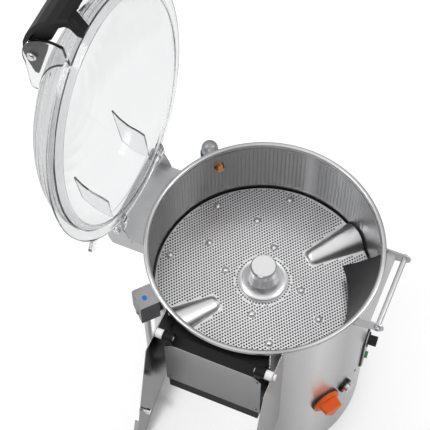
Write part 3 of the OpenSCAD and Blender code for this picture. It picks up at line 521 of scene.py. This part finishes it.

# ---- chute and door ----
# Bent stainless cheeks and floor; the left cheek's inner face, at -X, carries painted shade. The
# door is a satin black moulding with a steel plate, and turns in white nylon bushes.
chute_steel, _ = finish("chute_steel", (0.95, 0.95, 0.95), 0.24, grain, (60, 3, 3), 6.0,
                        metallic=1.0, vary=0.06, bump=0.005)
dress(chute_steel, "chute_floor")
cheek_steel, shader = finish("cheek_steel", (0.42, 0.42, 0.43), 0.17, grain, (60, 3, 60), 6.0,
                             metallic=1.0, vary=0.08, bump=0.004)
tree = cheek_steel.node_tree
side_weight, side_limit = 4.0, 0.8
leftward = sums(tree, "MULTIPLY", place_of(tree, "Object")[0], side_weight)
faces_in = sums(tree, "SUBTRACT", place_of(tree, "Normal")[0], leftward)
past_limit = sums(tree, "SUBTRACT", faces_in, side_limit)
# Painted shade: the inward face of the left cheek is darkened.
darken(tree, shader, ramp(tree, past_limit, [(0.0, 1.0), (0.4, 0.05)]))
dress(cheek_steel, "chute_cheeks")
door_black, _ = finish("door_black", (0.005, 0.005, 0.0055), 0.42, size=500.0, bump=0.03,
                       specular=0.22)
dress(door_black, "door_block")
plate_steel, _ = finish("door_plate_steel", (0.40, 0.40, 0.41), 0.34, grain, (3, 60, 60), 6.0,
                        metallic=1.0, bump=0.005)
dress(plate_steel, "door_plate")
bush_nylon, _ = finish("bush_nylon", (0.80, 0.80, 0.78), 0.42, size=500.0, bump=0.05, edge=0.1)
dress(bush_nylon, "door_bushes")

# ---- lid sensor ----
# A folded steel box, its upright faces darkened with painted shade, with a blue spot and a rubber
# gasket behind. The rubber also dresses the other gaskets, the feet, the seal and the belt.
box_steel, shader = finish("box_steel", (0.52, 0.52, 0.53), 0.30, grain, (3, 60, 60), 6.0,
                           metallic=1.0, bump=0.005)
tree = box_steel.node_tree
# Painted shade: faces that don't face up are darkened, so the top stays lighter.
darken(tree, shader, ramp(tree, place_of(tree, "Normal")[2], [(0.2, 0.28), (0.8, 1.0)]))
dress(box_steel, "sensor_box", "sensor_cover")
sensor_blue, _ = finish("sensor_blue", (0.006, 0.15, 0.50), 0.25, size=300.0, coat=0.4)
dress(sensor_blue, "sensor_lens")
rubber, _ = finish("black_rubber", (0.020, 0.020, 0.020), 0.6, size=700.0, bump=0.15)
dress(rubber, "sensor_gasket", "switch_gasket", "panel_gasket", "feet", "shaft_seal",
      "drive_belt")

# ---- controls ----
# An orange rotary switch, a steel stop button in a black collar, and a timer and a green start
# button on an oblong plate. Two dark screws sit in the wall, one between the stop button and the
# plate and one under the rim.
switch_orange, _ = finish("switch_orange", (0.78, 0.115, 0.006), 0.38, size=500.0, bump=0.02,
                          vary=0.12, coat=0.1, specular=0.35)
dress(switch_orange, "selector_knob")
start_green, _ = finish("start_green", (0.013, 0.24, 0.06), 0.3, size=300.0, coat=0.3)
dress(start_green, "start_button")
black_moulding, _ = finish("black_moulding", (0.009, 0.009, 0.0095), 0.40, size=600.0, bump=0.03,
                           specular=0.35)
dress(black_moulding, "timer_knob", "stop_collar", "contact_blocks", "cable_gland")
pale_moulding, _ = finish("pale_moulding", (0.62, 0.62, 0.58), 0.45, size=500.0, bump=0.05)
dress(pale_moulding, "control_unit", "run_capacitor")
screw_section = [(0.0, 0.0016), (0.0016, 0.0013), (0.0028, 0.0006), (0.0032, -0.0003)]
screw_sides, shell_r = 16, 0.238
screw_places = ((352.0, -0.3577), (342.0, -0.055))
screw_heads = np.stack([on_wall(revolve(screw_section, screw_sides), angle, rim_z + drop, shell_r)
                        for angle, drop in screw_places])
screw_dark, _ = finish("screw_dark", (0.10, 0.10, 0.11), 0.4, size=300.0, metallic=1.0)
quads = closed_grid(screw_sides, len(screw_section), len(screw_places)).reshape(-1, 4)
piece("wall_screws", screw_heads, quads[:, ::-1].tolist(), "housing", [screw_dark],
      smooth=True)

# ---- lid ----
# A thick clear moulding: dome, flange, skirt, lugs and ears in one, with two clear fins inside
# and a magnet holder on its flange.
clear, shader = finish("clear_moulding", (0.80, 0.805, 0.81), 0.09, size=30.0, vary=0.02,
                       rough_vary=0.02, bump=0.0005, edge=0.0, reach=0.0001)
shader.inputs["Transmission Weight"].default_value = 1.0
shader.inputs["IOR"].default_value = 1.32
dress(clear, "lid_dome")
fin_clear, shader = finish("clear_fin", (0.90, 0.90, 0.91), 0.16, size=40.0, vary=0.05,
                           rough_vary=0.04, bump=0.01, edge=0.0)
shader.inputs["Transmission Weight"].default_value = 1.0
shader.inputs["IOR"].default_value = 1.25
dress(fin_clear, "lid_fins", "lid_magnet")

# ---- latch handle ----
# A satin black moulding with two hooks, pivoted on the lid's ears. The hooks go under the steel
# bar on the drum when the lid is shut.
handle_black, _ = finish("handle_black", (0.005, 0.005, 0.0055), 0.42, size=700.0, bump=0.02,
                         specular=0.2)
dress(handle_black, "latch_handle")
bar_steel, _ = finish("bar_steel", (0.62, 0.62, 0.63), 0.38, size=120.0, metallic=1.0, vary=0.06,
                      bump=0.002, reach=0.0001, edge=0.0)
dress(bar_steel, "latch_bar")
